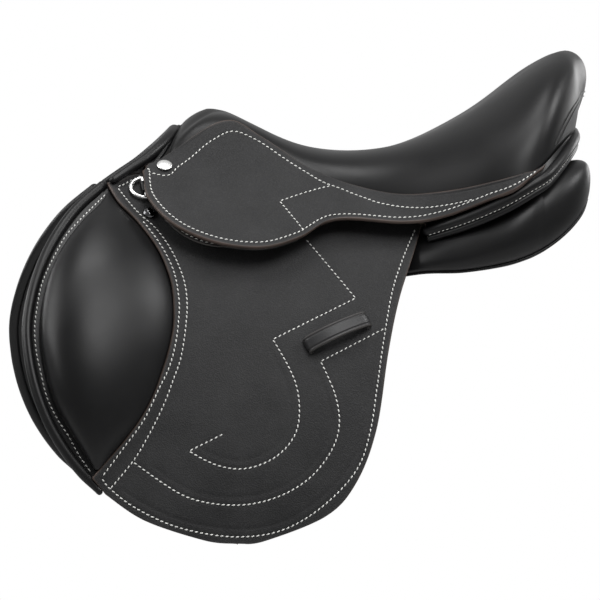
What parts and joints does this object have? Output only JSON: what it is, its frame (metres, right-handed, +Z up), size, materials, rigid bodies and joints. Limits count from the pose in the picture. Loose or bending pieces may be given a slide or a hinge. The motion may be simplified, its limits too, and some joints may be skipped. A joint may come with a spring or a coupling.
{
  "type": "jumping saddle",
  "caption": "Black jumping saddle with a deep padded seat, forward-cut flaps with outside knee pads, lifting skirts over the stirrup bars, stuffed panels and girth straps.",
  "frame": {"origin": "on the centre plane, under the lowest point of the seat, at the level where the panels bear on the horse's back", "axes": "+X to the cantle (rear), +Y to the off (right) side, +Z up"},
  "size_m": [0.5756, 0.4496, 0.4768],
  "materials": {
    "tree_wood": "laminated beech, unpainted, inside the saddle",
    "forged_steel": "forged steel, plain",
    "rivet_steel": "steel rivets",
    "webbing": "natural woven web",
    "foam": "seat foam under the cover",
    "smooth_leather": "black calf leather, smooth with a satin shine",
    "grained_leather": "black cowhide, fine grain, matte",
    "strap_leather": "black strap leather",
    "nickel": "polished nickel",
    "dark_metal": "dark lacquered metal, glossy"
  },
  "bodies": {
    "saddle": {"tree_head": "tree_wood", "head_plate": "forged_steel", "tree_rivets": "rivet_steel", "tree_frame": "tree_wood", "near_tree_wing": "tree_wood", "off_tree_wing": "tree_wood", "seat_web": "webbing", "seat_foam": "foam", "seat_cover": "smooth_leather", "front_roll": "smooth_leather", "pommel_facing": "smooth_leather", "gullet_lining": "strap_leather", "cantle_bead": "smooth_leather", "cantle_welt": "smooth_leather", "near_skirt": "grained_leather", "off_skirt": "grained_leather", "near_saddle_nail": "nickel", "off_saddle_nail": "nickel", "near_flap_top": "grained_leather", "off_flap_top": "grained_leather", "near_chape": "strap_leather", "off_chape": "strap_leather", "near_stirrup_bar": "forged_steel", "off_stirrup_bar": "forged_steel", "near_catch_pin": "forged_steel", "off_catch_pin": "forged_steel", "near_sweat_flap": "strap_leather", "off_sweat_flap": "strap_leather", "near_billet_rivets": "rivet_steel", "off_billet_rivets": "rivet_steel", "near_girth_web": "webbing", "off_girth_web": "webbing", "near_panel": "smooth_leather", "off_panel": "smooth_leather", "near_panel_piping": "smooth_leather", "off_panel_piping": "smooth_leather"},
    "near_flap_body": {"near_flap": "grained_leather", "near_edge_roll": "smooth_leather", "near_knee_pad": "smooth_leather", "near_keeper": "strap_leather", "near_flap_stud": "dark_metal"},
    "near_skirt_lobe_body": {"near_skirt_lobe": "grained_leather", "near_skirt_lining": "strap_leather"},
    "near_dee_body": {"near_dee": "nickel"},
    "near_catch_body": {"near_bar_catch": "forged_steel"},
    "near_front_billet_body": {"near_front_billet": "strap_leather"},
    "near_middle_billet_body": {"near_middle_billet": "strap_leather"},
    "near_rear_billet_body": {"near_rear_billet": "strap_leather"},
    "off_flap_body": {"off_flap": "grained_leather", "off_edge_roll": "smooth_leather", "off_knee_pad": "smooth_leather", "off_keeper": "strap_leather", "off_flap_stud": "dark_metal"},
    "off_skirt_lobe_body": {"off_skirt_lobe": "grained_leather", "off_skirt_lining": "strap_leather"},
    "off_dee_body": {"off_dee": "nickel"},
    "off_catch_body": {"off_bar_catch": "forged_steel"},
    "off_front_billet_body": {"off_front_billet": "strap_leather"},
    "off_middle_billet_body": {"off_middle_billet": "strap_leather"},
    "off_rear_billet_body": {"off_rear_billet": "strap_leather"}
  },
  "joints": [
    {"name": "near_flap_lift", "type": "hinge", "parent": "saddle", "child": "near_flap_body", "pos_m": [-0.1025, -0.12485, 0.02105], "axis": [-0.8807, 0.2768, 0.3844], "range_deg": [0, 25]},
    {"name": "off_flap_lift", "type": "hinge", "parent": "saddle", "child": "off_flap_body", "pos_m": [-0.1025, 0.12485, 0.02105], "axis": [0.8807, 0.2768, -0.3844], "range_deg": [0, 25]},
    {"name": "near_skirt_lift", "type": "hinge", "parent": "saddle", "child": "near_skirt_lobe_body", "pos_m": [-0.1085, -0.1045, 0.07425], "axis": [-0.9637, 0.1927, 0.1846], "range_deg": [0, 75]},
    {"name": "off_skirt_lift", "type": "hinge", "parent": "saddle", "child": "off_skirt_lobe_body", "pos_m": [-0.1085, 0.1045, 0.07425], "axis": [0.9637, 0.1927, -0.1846], "range_deg": [0, 75]},
    {"name": "near_dee_swing", "type": "hinge", "parent": "saddle", "child": "near_dee_body", "pos_m": [-0.206, -0.0784, 0.0805], "axis": [-0.1392, 0.6973, 0.7031], "range_deg": [0, 60]},
    {"name": "off_dee_swing", "type": "hinge", "parent": "saddle", "child": "off_dee_body", "pos_m": [-0.206, 0.0784, 0.0805], "axis": [0.1392, 0.6973, -0.7031], "range_deg": [0, 60]},
    {"name": "near_catch_turn", "type": "hinge", "parent": "saddle", "child": "near_catch_body", "pos_m": [-0.0828, -0.09025, 0.0687], "axis": [0, 0.6792, 0.734], "range_deg": [0, 75]},
    {"name": "off_catch_turn", "type": "hinge", "parent": "saddle", "child": "off_catch_body", "pos_m": [-0.0828, 0.09025, 0.0687], "axis": [0, 0.6792, -0.734], "range_deg": [0, 75]},
    {"name": "near_front_billet_swing", "type": "hinge", "parent": "saddle", "child": "near_front_billet_body", "pos_m": [-0.096, -0.1026, 0.028], "axis": [0, -0.7872, 0.6167], "range_deg": [-4, 4]},
    {"name": "off_front_billet_swing", "type": "hinge", "parent": "saddle", "child": "off_front_billet_body", "pos_m": [-0.096, 0.1026, 0.028], "axis": [0, -0.7872, -0.6167], "range_deg": [-4, 4]},
    {"name": "near_middle_billet_swing", "type": "hinge", "parent": "saddle", "child": "near_middle_billet_body", "pos_m": [-0.062, -0.1011, 0.0299], "axis": [0, -0.7839, 0.6208], "range_deg": [-4, 4]},
    {"name": "off_middle_billet_swing", "type": "hinge", "parent": "saddle", "child": "off_middle_billet_body", "pos_m": [-0.062, 0.1011, 0.0299], "axis": [0, -0.7839, -0.6208], "range_deg": [-4, 4]},
    {"name": "near_rear_billet_swing", "type": "hinge", "parent": "saddle", "child": "near_rear_billet_body", "pos_m": [-0.028, -0.1041, 0.026], "axis": [0, -0.7905, 0.6125], "range_deg": [-4, 4]},
    {"name": "off_rear_billet_swing", "type": "hinge", "parent": "saddle", "child": "off_rear_billet_body", "pos_m": [-0.028, 0.1041, 0.026], "axis": [0, -0.7905, -0.6125], "range_deg": [-4, 4]}
  ]
}
